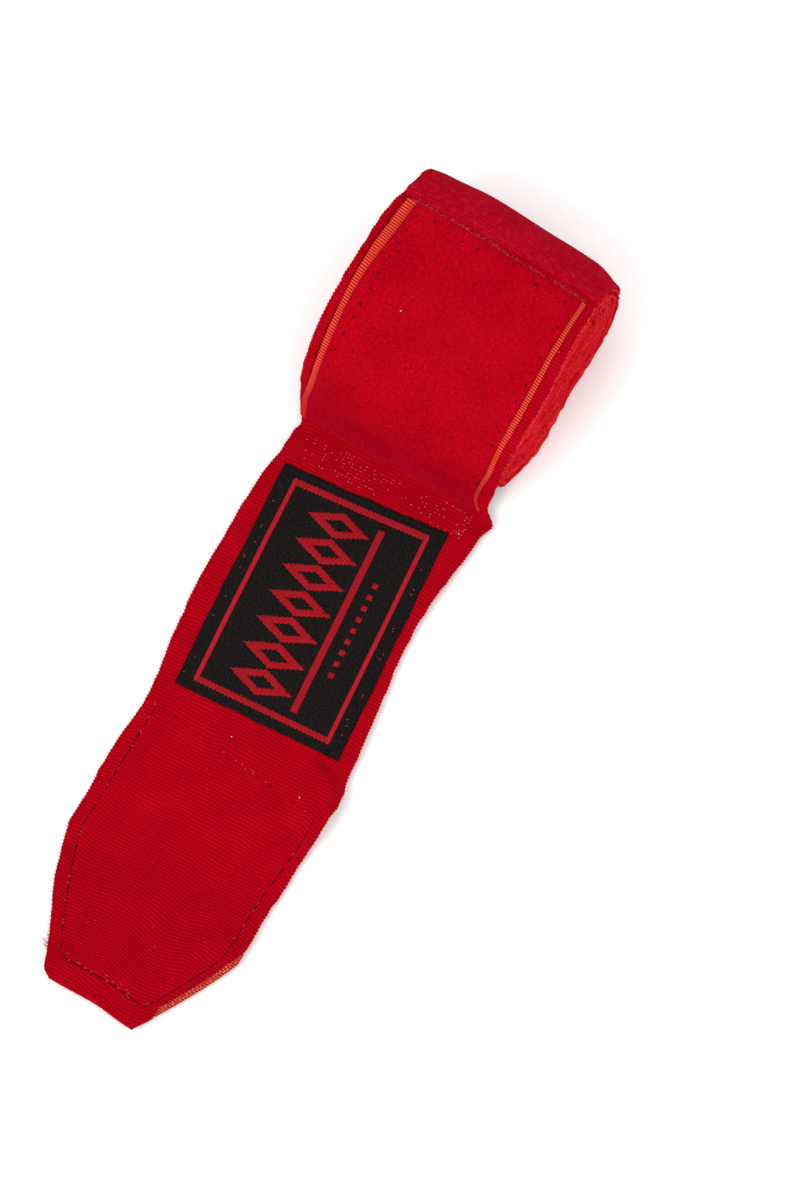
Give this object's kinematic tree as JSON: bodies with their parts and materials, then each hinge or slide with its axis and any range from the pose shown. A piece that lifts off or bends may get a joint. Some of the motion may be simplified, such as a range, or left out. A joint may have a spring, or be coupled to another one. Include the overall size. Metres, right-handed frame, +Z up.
{
  "type": "hand wrap",
  "caption": "Elastic hand wrap wound into an oblong roll, its free tail laid out flat with a sewn label and a tapered hook-tape tab that closes on a loop patch.",
  "frame": {"origin": "middle of the flat face that the roll rests on", "axes": "+X along the strap from the tail towards the roll, +Y across the strap along the roll's axis, +Z up"},
  "size_m": [0.2052, 0.0556, 0.0312],
  "materials": {
    "band": "ribbed elastic weave, slightly fuzzy",
    "loop_pile": "brushed loop pile",
    "label": "fine woven satin",
    "hook_tape": "moulded nylon hooks",
    "thread": "sewing thread"
  },
  "bodies": {
    "roll": {"wound_band": "band", "outer_lap": "band", "thumb_loop": "band", "thumb_loop_bartack": "thread", "loop_patch": "loop_pile", "loop_patch_stitching": "thread"},
    "tail_1": {"tail_band_1": "band", "label_main": "label", "label_main_stitching": "thread"},
    "tail_2": {"tail_band_2": "band", "label_end": "label", "label_end_stitching": "thread"},
    "tail_3": {"tail_band_3": "band"},
    "tail_4": {"tail_band_4": "band", "hook_tape_4": "hook_tape", "hook_stitching_4": "thread"},
    "tail_5": {"tail_band_5": "band", "hook_tape_5": "hook_tape", "hook_stitching_5": "thread"},
    "tail_6": {"tail_band_6": "band", "hook_tape_6": "hook_tape", "hook_stitching_6": "thread", "tip_hem": "band"}
  },
  "joints": [
    {"name": "tail_swing", "type": "hinge", "parent": "roll", "child": "tail_1", "pos_m": [-0.032, 0, 0.0004], "axis": [0, -1, 0], "range_deg": [-60, 180]},
    {"name": "tail_curl", "type": "hinge", "parent": "tail_1", "child": "tail_2", "pos_m": [-0.0872, 0, 0.0012], "axis": [0, -1, 0], "range_deg": [-12, 45]},
    {"name": "tail_curl_2", "type": "hinge", "parent": "tail_2", "child": "tail_3", "pos_m": [-0.1004, 0, 0.0012], "axis": [0, -1, 0], "range_deg": [-12, 45]},
    {"name": "tail_curl_3", "type": "hinge", "parent": "tail_3", "child": "tail_4", "pos_m": [-0.1136, 0, 0], "axis": [0, -1, 0], "range_deg": [-12, 45]},
    {"name": "tail_curl_4", "type": "hinge", "parent": "tail_4", "child": "tail_5", "pos_m": [-0.1268, 0, 0], "axis": [0, -1, 0], "range_deg": [-12, 45]},
    {"name": "tab_curl", "type": "hinge", "parent": "tail_5", "child": "tail_6", "pos_m": [-0.1503, 0, 0], "axis": [0, -1, 0], "range_deg": [-5.7, 21.1]}
  ],
  "couplings": [
    {"joint": "tail_curl_2", "follows": "tail_curl", "ratio": 1},
    {"joint": "tail_curl_3", "follows": "tail_curl", "ratio": 1},
    {"joint": "tail_curl_4", "follows": "tail_curl", "ratio": 1},
    {"joint": "tab_curl", "follows": "tail_curl", "ratio": 0.46667}
  ]
}
